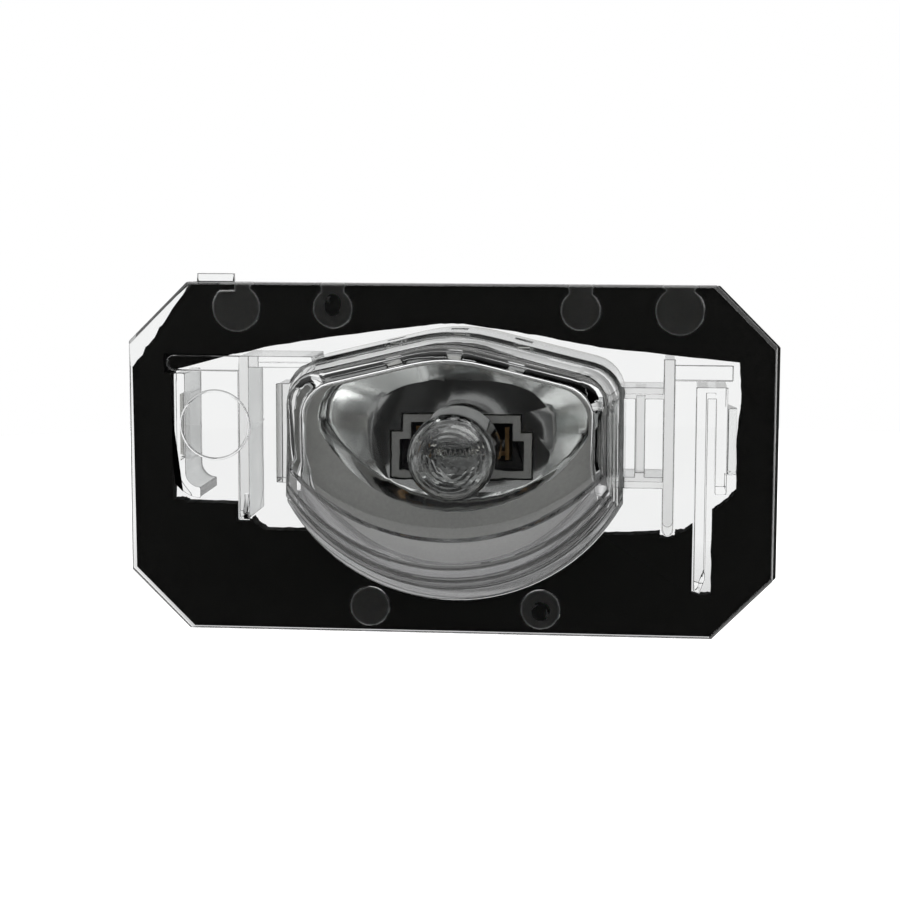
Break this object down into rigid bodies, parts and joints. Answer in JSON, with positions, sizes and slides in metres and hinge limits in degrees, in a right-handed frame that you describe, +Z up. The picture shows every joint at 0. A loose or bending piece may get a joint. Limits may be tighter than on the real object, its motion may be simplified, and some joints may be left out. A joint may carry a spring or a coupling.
{
  "type": "number plate lamp",
  "caption": "Push-in number plate lamp with an eight-sided clear flange, a domed lens with prism steps, a foam gasket and a wedge-base bulb.",
  "frame": {"origin": "centre of the gasket's back face, level with the panel that the lamp is pushed into", "axes": "+X to the right and +Z up as seen from the front, +Y back into the panel, so the lens faces -Y"},
  "size_m": [0.0764, 0.042, 0.0424],
  "materials": {
    "clear_plastic": "clear, polished",
    "foam": "closed-cell foam, matt black",
    "reflector": "grey moulding, metallised inside",
    "seal": "matt",
    "holder": "natural grey moulding",
    "contact": "stamped strip",
    "bulb_glass": "clear, blown and pinched",
    "bead": "clear",
    "filament": "drawn wire",
    "lead": "drawn wire"
  },
  "bodies": {
    "root": {"lens_cover": "clear_plastic", "flange_gasket": "foam", "reflector_housing": "reflector", "holder_seal": "seal", "bulb_holder": "holder", "contact_left": "contact", "contact_right": "contact", "bulb_glass": "bulb_glass", "bulb_bead": "bead", "bulb_filament": "filament", "bulb_lead_left": "lead", "bulb_lead_right": "lead"}
  },
  "joints": []
}
